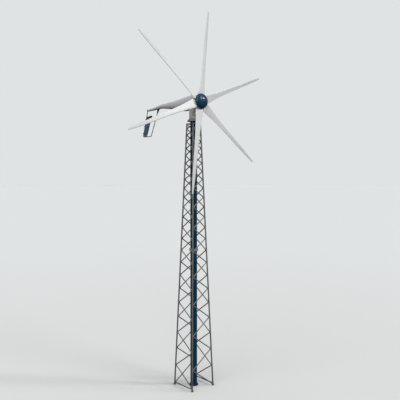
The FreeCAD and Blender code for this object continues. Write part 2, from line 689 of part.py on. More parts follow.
def main_bearings_inner():
    """Inner rings: the front one on the shaft's thick middle, the rear one on its thin end."""
    seats = (SHAFT_MIDDLE_RADIUS + FIT_GAP, SHAFT_RADIUS + FIT_GAP)
    return group([shaft_ring(BEARING_SPLIT - RUNNING_GAP, seat, front, BEARING_WIDTH)
                  for seat, front in zip(seats, bearing_fronts())])


def stator_core():
    """Laminated ring with open slots facing the magnets."""
    core = shaft_ring(CASE_RADIUS - CASE_WALL - FIT_GAP, STATOR_BORE, STATOR_FRONT, STATOR_LENGTH)
    slot = Part.makeBox(9.0, STATOR_LENGTH, 18.0, V(-4.5, STATOR_FRONT, STATOR_BORE - 2.0))
    return core.cut(group(around(slot, 18, V(0, 1, 0))))


def stator_windings():
    """Coil bundles in the slots, joined by an end turn at each end."""
    turns = []
    for front in (STATOR_FRONT - 16.0, STATOR_FRONT + STATOR_LENGTH):
        turns.append(shaft_ring(STATOR_BORE + 20.0, STATOR_BORE + 2.0, front, 16.0))
    bar = Part.makeBox(8.0, STATOR_LENGTH, 13.0, V(-4.0, STATOR_FRONT, STATOR_BORE + 2.5))
    windings = turns[0]
    for piece in around(bar, 18, V(0, 1, 0)) + turns[1:]:
        windings = windings.fuse(piece)
    return windings


def magnet_drum():
    seat = SHAFT_MIDDLE_RADIUS + FIT_GAP
    outer = MAGNET_RADIUS - MAGNET_THICKNESS
    rim = shaft_ring(outer, outer - 12.0, STATOR_FRONT, STATOR_LENGTH)
    web = shaft_ring(outer - 12.0, seat, STATOR_FRONT + STATOR_LENGTH / 2 - 10.0, 20.0)
    boss = shaft_ring(seat + 14.0, seat, STATOR_FRONT + 20.0, STATOR_LENGTH - 40.0)
    return rim.fuse(web).fuse(boss)


def magnets():
    inner = MAGNET_RADIUS - MAGNET_THICKNESS + FIT_GAP
    length = STATOR_LENGTH - 10.0
    wedge_angle = 360.0 / MAGNET_COUNT - 4.0
    profile = Part.Face(Part.makePolygon([V(inner, STATOR_FRONT + 5.0, 0),
                                          V(MAGNET_RADIUS, STATOR_FRONT + 5.0, 0),
                                          V(MAGNET_RADIUS, STATOR_FRONT + 5.0 + length, 0),
                                          V(inner, STATOR_FRONT + 5.0 + length, 0),
                                          V(inner, STATOR_FRONT + 5.0, 0)]))
    magnet = profile.revolve(V(0, 0, 0), V(0, 1, 0), wedge_angle)
    return group(around(magnet, MAGNET_COUNT, V(0, 1, 0)))


# ---------------------------------------------------------------- nacelle frame and tail spar
def nacelle_frame():
    """Cast frame: saddle on the yaw column and the upright that holds generator and spar."""
    saddle = Part.makeBox(SADDLE_WIDTH, 240.0, 100.0, V(-SADDLE_WIDTH / 2, -92.0, YAW_HOUSING_TOP))
    saddle = saddle.cut(on_shaft(cylinder(CASE_RADIUS + FIT_GAP, 700.0, V(0, -200.0, 0), V(0, 1, 0))))
    upright = shaft_ring(UPRIGHT_RADIUS, BEARING_OUTER + 15.0, UPRIGHT_FRONT, UPRIGHT_THICKNESS)
    foot_block = Part.makeBox(SADDLE_WIDTH, UPRIGHT_THICKNESS, 52.0,
                              V(-SADDLE_WIDTH / 2, UPRIGHT_FRONT, -UPRIGHT_RADIUS - 9.0))
    socket = cylinder(SPAR_RADIUS + 9.0, SOCKET_LENGTH, V(0, UPRIGHT_FRONT, SPAR_OFFSET), V(0, 1, 0))
    spar_hole = cylinder(SPAR_RADIUS + FIT_GAP, SOCKET_LENGTH, V(0, UPRIGHT_FRONT, SPAR_OFFSET),
                         V(0, 1, 0))
    hung = on_shaft(upright.fuse(foot_block).fuse(socket).cut(spar_hole))
    cable_hole = cylinder(SPINDLE_RADIUS, 60.0, V(0, 0, YAW_HOUSING_TOP - 10.0))
    return saddle.fuse(hung).cut(cable_hole)


def tail_spar():
    return on_shaft(ring(SPAR_RADIUS, SPAR_RADIUS - SPAR_WALL, SPAR_END - UPRIGHT_FRONT,
                         V(0, UPRIGHT_FRONT, SPAR_OFFSET), V(0, 1, 0)))


# ---------------------------------------------------------------- fairing pieces
def fairing_solid(shrink):
    """Loft through the fairing sections, each drawn in by the same amount."""
    wires = []
    for back, middle, half_height, half_width in FAIRING_SECTIONS:
        tall = half_height - shrink
        wide = half_width - shrink
        points = []
        for k in range(24):
            angle = 2 * math.pi * k / 24
            points.append(V(wide * math.cos(angle), back, middle + tall * math.sin(angle)))
        curve = Part.BSplineCurve()
        curve.interpolate(points, PeriodicFlag=True)
        wires.append(Part.Wire([curve.toShape()]))
    return Part.makeLoft(wires, True, False)


def between(front, rear, bottom=5000.0, top=8000.0):
    return Part.makeBox(1000.0, rear - front, top - bottom, V(-500.0, front, bottom))


def fairing_skin(wall):
    return fairing_solid(0.0).cut(fairing_solid(wall))


def nacelle_shell(skin, bottom, top):
    """Upper or lower half of the nacelle shell with its front wall."""
    walls = skin.common(between(SHELL_FRONT, SHELL_REAR, bottom, top))
    front = fairing_solid(0.2).common(between(SHELL_FRONT, SHELL_FRONT + SHELL_WALL, bottom, top))
    opening = on_shaft(cylinder(64.0, 200.0, V(0, -20.0, 0), V(0, 1, 0)))
    shell = walls.fuse(front.cut(opening))
    column = cylinder(YAW_HOUSING_RADIUS + 0.3, 300.0, V(0, 0, YAW_HOUSING_BOTTOM))
    return shell.cut(column)


def tail_cone():
    cone = fairing_skin(TAIL_CONE_WALL).common(between(SHELL_REAR + 1.0, TAIL_CONE_REAR))
    top = in_tail(FRAME_FRONT_TOP)
    front_tube = cylinder(FRAME_RADIUS + 0.5, BOOT_LENGTH, top,
                          frame_direction(FRAME_FRONT_TOP, FRAME_FRONT_BOTTOM))
    return cone.cut(front_tube)


# ---------------------------------------------------------------- tail vane pieces
def frame_direction(start, end):
    return V(0, end[0] - start[0], end[1] - start[1]).normalize()


def in_tail(place, x=0.0):
    return V(x, place[0], place[1])


def tail_frame():
    corners = [in_tail(FRAME_REAR_TOP), in_tail(FRAME_REAR_BOTTOM), in_tail(FRAME_FRONT_BOTTOM),
               in_tail(FRAME_FRONT_TOP)]
    bar = bent_bar(corners, FRAME_BEND, FRAME_RADIUS)
    spar = on_shaft(cylinder(SPAR_RADIUS + FIT_GAP, SPAR_END, V(0, 0, SPAR_OFFSET), V(0, 1, 0)))
    return bar.cut(spar)


def tail_end_cap():
    rear = on_shaft(cylinder(END_CAP_RADIUS, END_CAP_LENGTH, V(0, SPAR_END + 0.05, SPAR_OFFSET), V(0, 1, 0)))
    rounding = on_shaft(Part.makeSphere(END_CAP_RADIUS + 6.0, V(0, SPAR_END - 9.0, SPAR_OFFSET)))
    return rear.common(rounding).cut(tail_frame())


def tail_front_sleeve():
    """Black conical boot on the front tube, trimmed to the tail cone's surface."""
    direction = frame_direction(FRAME_FRONT_TOP, FRAME_FRONT_BOTTOM)
    top = in_tail(FRAME_FRONT_TOP)
    boot = Part.makeCone(BOOT_TOP_RADIUS, BOOT_BOTTOM_RADIUS, BOOT_LENGTH, top, direction)
    tube = cylinder(FRAME_RADIUS + FIT_GAP, BOOT_LENGTH, top, direction)
    return boot.cut(tube).cut(fairing_solid(-FIT_GAP))


def vane_panel():
    corners = [in_tail(place, -PANEL_THICKNESS / 2) for place in
               (PANEL_TOP_FRONT, PANEL_TOP_REAR, PANEL_BOTTOM_REAR, PANEL_BOTTOM_FRONT, PANEL_TOP_FRONT)]
    return Part.Face(Part.makePolygon(corners)).extrude(V(PANEL_THICKNESS, 0, 0))


def vane_edge_trim():
    """Black edging folded over the panel's top and front edges, one mitred piece."""
    corner = in_tail(PANEL_TOP_FRONT)
    to_rear = (in_tail(PANEL_TOP_REAR) - corner).normalize()
    to_bottom = (in_tail(PANEL_BOTTOM_FRONT) - corner).normalize()
    rear_end = in_tail(PANEL_TOP_REAR) - to_rear * TRIM_PULL_BACK
    bottom_end = in_tail(PANEL_BOTTOM_FRONT) - to_bottom * TRIM_PULL_BACK
    above = V(0, -to_rear.z, to_rear.y)
    ahead = V(0, to_bottom.z, -to_bottom.y)
    mitre = (above + ahead) * (1 / (1 + above.dot(ahead)))
    outline = [rear_end + above * TRIM_OUT, corner + mitre * TRIM_OUT, bottom_end + ahead * TRIM_OUT,
               bottom_end - ahead * TRIM_IN, corner - mitre * TRIM_IN, rear_end - above * TRIM_IN]
    band = Part.Face(Part.makePolygon(outline + outline[:1])).extrude(V(TRIM_THICKNESS, 0, 0))
    band.translate(V(-TRIM_THICKNESS / 2, 0, 0))
    return band.cut(vane_panel())


def vane_bottom_channel():
    """Folded channel carrying the panel on the bottom run of the frame."""
    length = PANEL_BOTTOM_REAR[0] - PANEL_BOTTOM_FRONT[0]
    bottom = FRAME_FRONT_BOTTOM[1] + FRAME_RADIUS - 1.0
    block = Part.makeBox(12.0, length, PANEL_BOTTOM_REAR[1] + 10.0 - bottom,
                         V(-6.0, PANEL_BOTTOM_FRONT[0], bottom))
    return block.cut(vane_panel()).cut(tail_frame())


def vane_clips():
    """Three saddles that hold the panel's rear edge on the rear run of the frame."""
    direction = frame_direction(FRAME_REAR_TOP, FRAME_REAR_BOTTOM)
    clips = []
    for height in (6200.0, 6030.0, 5870.0):
        share = (FRAME_REAR_TOP[1] - height) / (FRAME_REAR_TOP[1] - FRAME_REAR_BOTTOM[1])
        back = FRAME_REAR_TOP[0] + share * (FRAME_REAR_BOTTOM[0] - FRAME_REAR_TOP[0])
        centre = V(0, back, height)
        band = cylinder(FRAME_RADIUS + 2.5, 24.0, centre, direction)
        tab = Part.makeBox(9.0, 34.0, 24.0, V(-4.5, -34.0, 0))
        tab.Placement = FreeCAD.Placement(centre, FreeCAD.Rotation(V(0, 0, 1), direction)).multiply(
            tab.Placement)
        clips.append(band.fuse(tab).cut(vane_panel()).cut(tail_frame()))
    return group(clips + [panel_corner_block()])


def panel_corner_block():
    """Black clamp block at the top front corner of the panel."""
    block = Part.makeBox(26.0, 44.0, 34.0, V(-13.0, PANEL_TOP_FRONT[0] - 6.0, PANEL_TOP_FRONT[1] - 30.0))
    return block.cut(vane_panel()).cut(vane_edge_trim())


# ---------------------------------------------------------------- all the nodes
def quarter_turn(shape, turns):
    copy = shape.copy()
    copy.rotate(V(0, 0, 0), V(0, 0, 1), 90.0 * turns)
    return copy


def tower_nodes():
    corners = {"front_left": (-1, -1), "front_right": (1, -1), "rear_right": (1, 1), "rear_left": (-1, 1)}
    nodes = {"leg_" + name: leg(*sides) for name, sides in corners.items()}
    nodes["feet"] = group([foot(*sides) for sides in corners.values()])
    plain = lacing(False)
    braced = lacing(True)
    nodes["lacing_front"] = plain
    nodes["lacing_right"] = quarter_turn(braced, 1)
    nodes["lacing_rear"] = quarter_turn(plain, 2)
    nodes["lacing_left"] = quarter_turn(braced, 3)
    nodes["top_ties"] = group(around(top_tie(), 4))
    nodes["pole_spacers"] = group(around(pole_spacer(), 4))
    nodes["pole_lower"] = pole_length(0.0, MID_JOINT)
    nodes["pole_base_flange"] = drilled_flange(0.0, BASE_FLANGE_HEIGHT, BASE_HOLE_RADIUS)
    nodes["pole_upper"] = pole_length(MID_JOINT, POLE_TOP)
    nodes["mid_flanges"] = group([drilled_flange(bottom, MID_FLANGE_HEIGHT, FLANGE_HOLE_RADIUS)
                                  for bottom in (MID_JOINT - MID_FLANGE_HEIGHT, MID_JOINT)])
    nodes["mid_flange_bolts"] = mid_flange_bolts()
    nodes["head_plate"] = head_plate()
    nodes["head_bolts"] = head_bolts()
    nodes["yaw_base"] = yaw_base()
    nodes["yaw_spindle"] = yaw_spindle()
    nodes["yaw_bearing_inner_rings"] = yaw_bearing_inner_rings()
    nodes["yaw_lock_nut"] = yaw_lock_nut()
    nodes["slip_ring_sleeve"] = slip_ring_sleeve()
    nodes["slip_rings"] = slip_rings()
    return nodes


def nacelle_nodes():
    skin = fairing_skin(SHELL_WALL)
    return {
        "yaw_housing": yaw_housing(),
        "bearing_outer_rings": group(yaw_bearing_outer_rings() + [on_shaft(main_bearings_outer())]),
        "brush_block": brush_block(),
        "nacelle_frame": nacelle_frame(),
        "generator_case": on_shaft(generator_case()),
        "generator_end_bells": on_shaft(generator_end_bells()),
        "stator_core": on_shaft(stator_core()),
        "stator_windings": on_shaft(stator_windings()),
        "nacelle_shell_upper": nacelle_shell(skin, SHELL_SPLIT, 7000.0),
        "nacelle_shell_lower": nacelle_shell(skin, 6000.0, SHELL_SPLIT),
        "tail_cone": tail_cone(),
        "tail_spar": tail_spar(),
        "tail_end_cap": tail_end_cap(),
        "tail_frame": tail_frame(),
        "tail_front_sleeve": tail_front_sleeve(),
        "vane_panel": vane_panel(),
        "vane_edge_trim": vane_edge_trim(),
        "vane_bottom_channel": vane_bottom_channel(),
        "vane_clips": vane_clips(),
    }


def rotor_nodes():
    nodes = {
        "main_shaft": main_shaft(),
        "main_bearing_inner_rings": main_bearings_inner(),
        "hub_plate": hub_plate(),
        "clamp_plate": clamp_plate(),
        "blade_bolts": blade_bolts(),
        "shaft_nut": shaft_nut(),
        "spinner": spinner(),
        "spinner_posts": spinner_posts(),
        "spinner_screws": spinner_screws(),
        "magnet_drum": magnet_drum(),
        "magnets": magnets(),
    }
    upright_blade = blade()
    for index in range(BLADE_COUNT):
        nodes["blade_%d" % (index + 1)] = at_blade(upright_blade, index)
    return {name: on_shaft(shape) for name, shape in nodes.items()}


def main():
    os.makedirs("parts", exist_ok=True)
    nodes = {}
    nodes.update(tower_nodes())
    nodes.update(nacelle_nodes())
    nodes.update(rotor_nodes())
    for name, shape in nodes.items():
        shape.exportStep("parts/%s.step" % name)


main()
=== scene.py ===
"""Looks of the small wind turbine: finishes, fine detail, camera and studio light, in metres."""
import json
import math

import bmesh
import bpy
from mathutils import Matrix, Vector
from mathutils.bvhtree import BVHTree

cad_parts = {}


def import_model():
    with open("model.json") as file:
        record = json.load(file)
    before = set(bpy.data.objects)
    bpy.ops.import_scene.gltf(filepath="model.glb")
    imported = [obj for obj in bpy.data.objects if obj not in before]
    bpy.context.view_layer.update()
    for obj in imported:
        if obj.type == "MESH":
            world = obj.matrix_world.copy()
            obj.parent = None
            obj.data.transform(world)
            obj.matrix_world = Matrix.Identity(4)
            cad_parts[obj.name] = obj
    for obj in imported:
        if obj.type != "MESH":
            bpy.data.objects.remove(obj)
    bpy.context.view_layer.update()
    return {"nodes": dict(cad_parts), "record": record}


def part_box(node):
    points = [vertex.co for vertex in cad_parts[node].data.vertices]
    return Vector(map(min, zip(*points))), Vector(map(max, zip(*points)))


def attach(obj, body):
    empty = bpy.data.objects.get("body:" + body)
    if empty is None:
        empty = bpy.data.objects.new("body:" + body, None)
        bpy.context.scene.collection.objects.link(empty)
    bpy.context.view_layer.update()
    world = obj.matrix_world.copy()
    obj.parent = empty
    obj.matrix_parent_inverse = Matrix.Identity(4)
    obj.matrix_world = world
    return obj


# ---------------------------------------------------------------- camera and stage
CAMERA_PLACE = (-7.945, -9.283, 4.681)
CAMERA_AZIMUTH = math.radians(-41.23)
CAMERA_DOWN = math.radians(2.10)
CAMERA_LENS = 48.6
SENSOR_WIDTH = 36.0
CAMERA_REACH = 2000.0
FLOOR_HALF = 400.0
FLOOR_FAR = 28.0                        # the floor reaches the backdrop's tone this far out
FLOOR_COLOUR = (0.637, 0.639, 0.637)
FLOOR_FAR_COLOUR = (0.680, 0.700, 0.704)
# name, direction towards the lamp, strength, angular size in degrees
LAMPS = (
    ("key_front", (0.29, -0.957, 0.70), 1.2, 24.0),
    ("key_side", (0.70, -0.71, 0.56), 1.4, 9.0),
    ("dome", (0.1, -0.2, 1.0), 0.9, 150.0),
    ("fill_left", (-0.86, -0.30, 0.50), 2.1, 70.0),
    ("fill_rear", (0.3, 0.9, 0.3), 0.5, 100.0),
)
SKY_COLOUR = (0.745, 0.765, 0.772)

# ---------------------------------------------------------------- paint and plastic colours
LATTICE_GREY = (0.180, 0.180, 0.182)
GROUND_DARK_BROWN = (0.062, 0.056, 0.048)
GROUND_DARK_HEIGHT = 0.55                      # the dark brown tint near the ground fades out at this height
POLE_NAVY = (0.004, 0.031, 0.062)
FLANGE_BLACK = (0.008, 0.009, 0.009)
FLANGE_GREY = (0.190, 0.190, 0.198)
HEAD_GREY = (0.45, 0.45, 0.445)
NACELLE_GREY = (0.55, 0.555, 0.565)
TAIL_GREY = (0.130, 0.130, 0.132)
VANE_BLUE = (0.062, 0.126, 0.178)
# painted shadow over the top of the vane: its tone, lower edge and blur
VANE_SHADOW_GREY = (0.055, 0.062, 0.065)
VANE_SHADOW_BOTTOM = 6.115                # painted shadow darkens the vane above this height
VANE_SHADOW_EDGE = 0.004
TRIM_BLACK = (0.006, 0.006, 0.006)
BLADE_WHITE = (0.645, 0.655, 0.655)
HUB_CENTRE = (0, -0.2356, 6.429)
BLADE_CLEAN_RADIUS = 0.9                # greying, dulling and fly marks start this far out from the hub
BLADE_TIP_RADIUS = 2.08
BLADE_TIP_GREYING = 0.34
SPINNER_NAVY = (0.014, 0.050, 0.090)
# metals and insulation, mostly out of sight
ZINC_STEEL = (0.46, 0.46, 0.47)
MACHINED_STEEL = (0.42, 0.42, 0.43)
CAST_ALUMINIUM = (0.52, 0.52, 0.53)
LAMINATION_STEEL = (0.16, 0.16, 0.17)
COPPER_DARK = (0.30, 0.075, 0.020)
COPPER_BRIGHT = (0.62, 0.22, 0.070)
MAGNET_NICKEL = (0.58, 0.57, 0.53)
BLACK_IRON = (0.07, 0.07, 0.07)
RING_BRASS = (0.62, 0.42, 0.13)
INSULATOR_RED = (0.16, 0.035, 0.015)


# ---------------------------------------------------------------- fine detail, from the CAD's sizes
LEGS = ("leg_front_left", "leg_front_right", "leg_rear_left", "leg_rear_right")
LACING = ("lacing_front", "lacing_right", "lacing_rear", "lacing_left")
LEG_RADIUS = 0.01685
LEG_END = 0.02                          # leg points this close to an end give its middle
WELD_REACH = 0.004                      # how far past touching a bar still counts as welded
WELD_GAP = 0.06                         # bar points further apart than this are two welds
WELD_BEAD = 0.0042
WELD_LENGTH = 0.017
WELD_WIDTH = 0.0075
WELD_STANDOFF = 0.0006                  # how far the bead's middle stands off the leg
WELD_WRAP = 0.0016                      # how far the bead's sides bend round the leg
WELD_POINTS = 12
LUMP_SHARE = 0.16                       # how much a bead swells and shrinks along its run
LUMP_TURN = 2.4
FLANGE_BEAD = 0.0052
FLANGE_BEAD_POINTS = 72
SEAM_HEIGHT = 6.430
SEAM_OFFSET = 0.016                     # screws stand this far above and below the seam
SEAM_SCREW_RADIUS = 0.0055
# distance behind the tower of each pair of screws
SEAM_SCREWS = (-0.15, 0.02, 0.19, 0.36, 0.53, 0.70, 0.87, 0.99)
RIVET_RADIUS = 0.0042
SHAFT_TILT = math.radians(3.0)
PLUG_RADIUS = 0.010
PLUG_RISE = 0.18
BUTTON_RISE = 0.60                      # height of a button head as a share of its radius
BUTTON_SKIRT = (1.0, -0.25)             # radius and level of the edge sunk into the surface
# radius and level of the rings up a button head, as shares of its radius and rise
BUTTON_RINGS = ((1.0, 0.17), (0.86, 0.57), (0.55, 0.87))
BUTTON_SIDES = 14


def spaced(start, end, count):
    """Evenly spaced places from start to end."""
    return [tuple(first + (last - first) * k / (count - 1) for first, last in zip(start, end))
            for k in range(count)]


# node, then distance behind the tower and height of each rivet
RIVET_ROWS = (
    ("vane_edge_trim", spaced((1.612, 6.266), (1.768, 6.255), 4)),
    ("vane_edge_trim", spaced((1.603, 6.236), (1.778, 5.842), 9)),
    ("vane_bottom_channel", spaced((1.800, 5.800), (1.920, 5.800), 4)),
    ("vane_clips", ((1.796, 6.208), (1.848, 6.038), (1.898, 5.878))),
)


class Look:
    """A material being built node by node around one Principled shader."""

    def __init__(self, name):
        self.material = bpy.data.materials.new(name)
        self.material.use_nodes = True
        self.nodes = self.material.node_tree.nodes
        self.links = self.material.node_tree.links
        self.shader = self.nodes["Principled BSDF"]
        self.place = self.nodes.new("ShaderNodeTexCoord").outputs["Object"]

    def set(self, socket, value):
        self.shader.inputs[socket].default_value = value

    def noise(self, scale, detail=3.0, stretch=(1, 1, 1)):
        mapping = self.nodes.new("ShaderNodeMapping")
        mapping.inputs["Scale"].default_value = stretch
        self.links.new(self.place, mapping.inputs["Vector"])
        texture = self.nodes.new("ShaderNodeTexNoise")
        texture.inputs["Scale"].default_value = scale
        texture.inputs["Detail"].default_value = detail
        self.links.new(mapping.outputs["Vector"], texture.inputs["Vector"])
        return texture.outputs["Fac"]

    def scale_range(self, value, low, high, new_low=0.0, new_high=1.0):
        spread = self.nodes.new("ShaderNodeMapRange")
        spread.inputs["From Min"].default_value = low
        spread.inputs["From Max"].default_value = high
        spread.inputs["To Min"].default_value = new_low
        spread.inputs["To Max"].default_value = new_high
        self.links.new(value, spread.inputs["Value"])
        return spread.outputs["Result"]

    def mix(self, share, first, second):
        """Blend of two colours or colour outputs by an output between 0 and 1."""
        blend = self.nodes.new("ShaderNodeMix")
        blend.data_type = "RGBA"
        self.links.new(share, blend.inputs["Factor"])
        for socket, colour in ((blend.inputs["A"], first), (blend.inputs["B"], second)):
            if isinstance(colour, tuple):
                socket.default_value = (*colour, 1)
            else:
                self.links.new(colour, socket)
        return blend.outputs["Result"]

    def multiply(self, first, second):
        product = self.nodes.new("ShaderNodeMath")
        product.operation = "MULTIPLY"
        for socket, value in zip(product.inputs, (first, second)):
            if isinstance(value, float):
                socket.default_value = value
            else:
                self.links.new(value, socket)
        return product.outputs["Value"]

    def height(self, low, high):
        """Nought at the height low in the object's frame, one at the height high."""
        split = self.nodes.new("ShaderNodeSeparateXYZ")
        self.links.new(self.place, split.inputs["Vector"])
        return self.scale_range(split.outputs["Z"], low, high)

    def reach(self, centre, near, far):
        """Nought up to the distance near from a centre, rising to one at the distance far."""
        away = self.nodes.new("ShaderNodeVectorMath")
        away.operation = "DISTANCE"
        away.inputs[1].default_value = centre
        self.links.new(self.place, away.inputs[0])
        return self.scale_range(away.outputs["Value"], near, far)

    def root(self, value):
        square_root = self.nodes.new("ShaderNodeMath")
        square_root.operation = "SQRT"
        self.links.new(value, square_root.inputs[0])
        return square_root.outputs["Value"]

    def bump(self, height, strength, distance):
        bump = self.nodes.new("ShaderNodeBump")
        bump.inputs["Strength"].default_value = strength
        bump.inputs["Distance"].default_value = distance
        self.links.new(height, bump.inputs["Height"])
        self.links.new(bump.outputs["Normal"], self.shader.inputs["Normal"])

    def colour(self, output):
        self.links.new(output, self.shader.inputs["Base Color"])

    def roughness(self, output):
        self.links.new(output, self.shader.inputs["Roughness"])


def shade(colour, share):
    return tuple(channel * share for channel in colour)


def painted_steel(name, colour, rough_low=0.32, rough_high=0.50, chalk=1.25, specular=0.35):
    """Brushed or sprayed paint: faint mottling, dusty patches and orange-peel bump."""
    look = Look(name)
    mottled = look.mix(look.scale_range(look.noise(5.0, 5.0), 0.35, 0.65),
                       shade(colour, 0.88), shade(colour, chalk * 0.92))
    dusty = look.mix(look.multiply(look.scale_range(look.noise(26.0, 6.0), 0.52, 0.75), 0.35),
                     mottled, shade(colour, chalk * 1.3))
    look.colour(dusty)
    look.set("Specular IOR Level", specular)
    look.roughness(look.scale_range(look.noise(14.0, 4.0), 0.3, 0.7, rough_low, rough_high))
    look.bump(look.noise(320.0, 2.0), 0.10, 0.001)
    return look.material


def vane_skin():
    """Blue sprayed paint with a painted shadow: a dark band across the top of the panel."""
    look = Look("vane_paint")
    mottled = look.scale_range(look.noise(5.0, 5.0), 0.35, 0.65)
    blue = look.mix(mottled, shade(VANE_BLUE, 0.88), shade(VANE_BLUE, 1.15))
    # painted shadow: dark grey above a set height on the panel
    dark = look.mix(mottled, shade(VANE_SHADOW_GREY, 0.88), shade(VANE_SHADOW_GREY, 1.15))
    look.colour(look.mix(look.height(VANE_SHADOW_BOTTOM, VANE_SHADOW_BOTTOM + VANE_SHADOW_EDGE), blue, dark))
    look.set("Specular IOR Level", 0.35)
    look.roughness(look.scale_range(look.noise(14.0, 4.0), 0.3, 0.7, 0.30, 0.44))
    look.bump(look.noise(320.0, 2.0), 0.10, 0.001)
    return look.material


def galvanised_paint(name, colour):
    """Lattice steel: thin grey paint over zinc, its spangle showing, darker and browner towards the
    ground.
    """
    look = Look(name)
    spangle = look.nodes.new("ShaderNodeTexVoronoi")
    spangle.inputs["Scale"].default_value = 70.0
    look.links.new(look.place, spangle.inputs["Vector"])
    flecks = look.mix(look.scale_range(spangle.outputs["Distance"], 0.1, 0.7),
                      shade(colour, 0.85), shade(colour, 1.2))
    mottled = look.mix(look.scale_range(look.noise(3.0, 5.0), 0.35, 0.65), flecks, shade(colour, 0.72))
    # darker and browner towards the ground
    darker_low = look.mix(look.multiply(look.height(GROUND_DARK_HEIGHT, 0.0), look.noise(18.0, 5.0)),
                      mottled, GROUND_DARK_BROWN)
    look.colour(darker_low)
    look.set("Metallic", 0.30)
    look.roughness(look.scale_range(look.noise(22.0, 4.0), 0.3, 0.7, 0.30, 0.48))
    look.bump(look.noise(210.0, 3.0), 0.14, 0.001)
    return look.material


def gelcoat(name, colour, coat, specular, rough_low, rough_high, streak=0.93, ripple=0.03):
    """Moulded glass fibre: even colour with faint rain streaks under a clear gel coat."""
    look = Look(name)
    streaks = look.scale_range(look.noise(2.2, 6.0, stretch=(6, 6, 0.7)), 0.45, 0.75)
    tinted = look.mix(streaks, colour, shade(colour, streak))
    specks = look.mix(look.multiply(look.scale_range(look.noise(140.0, 3.0), 0.62, 0.80), 0.30),
                      tinted, shade(colour, 0.80))
    look.colour(specks)
    look.set("Coat Weight", coat)
    look.set("Coat Roughness", 0.10)
    look.set("Specular IOR Level", specular)
    look.roughness(look.scale_range(look.noise(9.0, 3.0), 0.3, 0.7, rough_low, rough_high))
    look.bump(look.noise(9.0, 2.0), ripple, 0.004)
    return look.material


def blade_skin():
    """White gel coat, duller and greyer with fly marks towards the fast outer end."""
    look = Look("blade_gelcoat")
    streaks = look.scale_range(look.noise(2.2, 6.0, stretch=(6, 6, 0.7)), 0.45, 0.75)
    clean = look.mix(streaks, BLADE_WHITE, shade(BLADE_WHITE, 0.96))
    outer_share = look.reach(HUB_CENTRE, BLADE_CLEAN_RADIUS, BLADE_TIP_RADIUS)
    specks = look.scale_range(look.noise(90.0, 3.0), 0.56, 0.74)
    marked = look.mix(look.multiply(look.multiply(specks, outer_share), 0.12), clean, shade(BLADE_WHITE, 0.45))
    # greyer towards the outer end
    look.colour(look.mix(look.multiply(outer_share, BLADE_TIP_GREYING), marked, shade(BLADE_WHITE, 0.5)))
    look.set("Coat Weight", 0.05)
    look.set("Coat Roughness", 0.12)
    look.set("Specular IOR Level", 0.4)
    look.roughness(look.scale_range(outer_share, 0.0, 1.0, 0.44, 0.58))
    look.bump(look.noise(9.0, 2.0), 0.02, 0.004)
    return look.material


def metal(name, colour, rough_low, rough_high, stretch=(1, 1, 1), grain=180.0):
    """Bare metal with turning or rolling grain along one direction."""
    look = Look(name)
    brushed = look.noise(grain, 3.0, stretch)
    look.colour(look.mix(look.scale_range(brushed, 0.3, 0.7), shade(colour, 0.82), colour))
    look.set("Metallic", 1.0)
    look.roughness(look.scale_range(look.noise(12.0, 4.0), 0.3, 0.7, rough_low, rough_high))
    look.bump(brushed, 0.08, 0.0006)
    return look.material


def moulded(name, colour, rough_low=0.55, rough_high=0.75):
    """Rubber or moulded plastic: matt, with a fine leathery grain."""
    look = Look(name)
    look.colour(look.mix(look.scale_range(look.noise(16.0, 4.0), 0.35, 0.7), colour,
                         tuple(channel * 1.6 + 0.004 for channel in colour)))
    look.set("Specular IOR Level", 0.15)
    look.roughness(look.scale_range(look.noise(30.0, 3.0), 0.3, 0.7, rough_low, rough_high))
    look.bump(look.noise(420.0, 2.0), 0.16, 0.0008)
    return look.material


def winding_wire():
    """Enamelled copper wire, its strands showing as fine bands."""
    look = Look("copper_wire")
    bands = look.nodes.new("ShaderNodeTexWave")
    bands.inputs["Scale"].default_value = 160.0
    bands.inputs["Distortion"].default_value = 1.5
    look.links.new(look.place, bands.inputs["Vector"])
    look.colour(look.mix(bands.outputs["Fac"], COPPER_DARK, COPPER_BRIGHT))
    look.set("Metallic", 0.8)
    look.roughness(look.scale_range(look.noise(40.0), 0.3, 0.7, 0.25, 0.42))
    look.bump(bands.outputs["Fac"], 0.4, 0.001)
    return look.material


def finishes():
    """One material per slot of the record."""
    return {
        "lattice_paint": galvanised_paint("lattice_paint", LATTICE_GREY),
        "pole_paint": painted_steel("pole_paint", POLE_NAVY, 0.30, 0.44, specular=0.18),
        "black_paint": painted_steel("black_paint", FLANGE_BLACK, specular=0.15),
        "flange_paint": painted_steel("flange_paint", FLANGE_GREY, 0.20, 0.34, specular=0.6),
        "zinc_steel": metal("zinc_steel", ZINC_STEEL, 0.30, 0.48),
        "machined_steel": metal("machined_steel", MACHINED_STEEL, 0.22, 0.38, stretch=(1, 1, 8)),
        "head_paint": painted_steel("head_paint", HEAD_GREY),
        "nacelle_skin": gelcoat("nacelle_skin", NACELLE_GREY, 0.10, 0.5, 0.30, 0.42),
        "tail_paint": painted_steel("tail_paint", TAIL_GREY),
        "vane_paint": vane_skin(),
        "black_trim": moulded("black_trim", TRIM_BLACK),
        "blade_gelcoat": blade_skin(),
        "spinner_gelcoat": gelcoat("spinner_gelcoat", SPINNER_NAVY, 0.42, 0.05, 0.30, 0.40, streak=0.85),
        "cast_aluminium": metal("cast_aluminium", CAST_ALUMINIUM, 0.42, 0.62, grain=60.0),
        "laminations": metal("laminations", LAMINATION_STEEL, 0.35, 0.55, stretch=(1, 40, 1)),
        "copper_wire": winding_wire(),
        "magnet_nickel": metal("magnet_nickel", MAGNET_NICKEL, 0.12, 0.22),
        "black_iron": metal("black_iron", BLACK_IRON, 0.40, 0.60),
        "ring_brass": metal("ring_brass", RING_BRASS, 0.16, 0.30, stretch=(1, 1, 20)),
        "insulator": moulded("insulator", INSULATOR_RED),
    }


def dress_nodes(frame, materials):
    """Give every node the material of its slot in the record."""
    for entry in frame["record"]["subparts"]:
        node = frame["nodes"][entry["node"]]
        node.data.materials.clear()
        node.data.materials.append(materials[entry["material_slot"]])


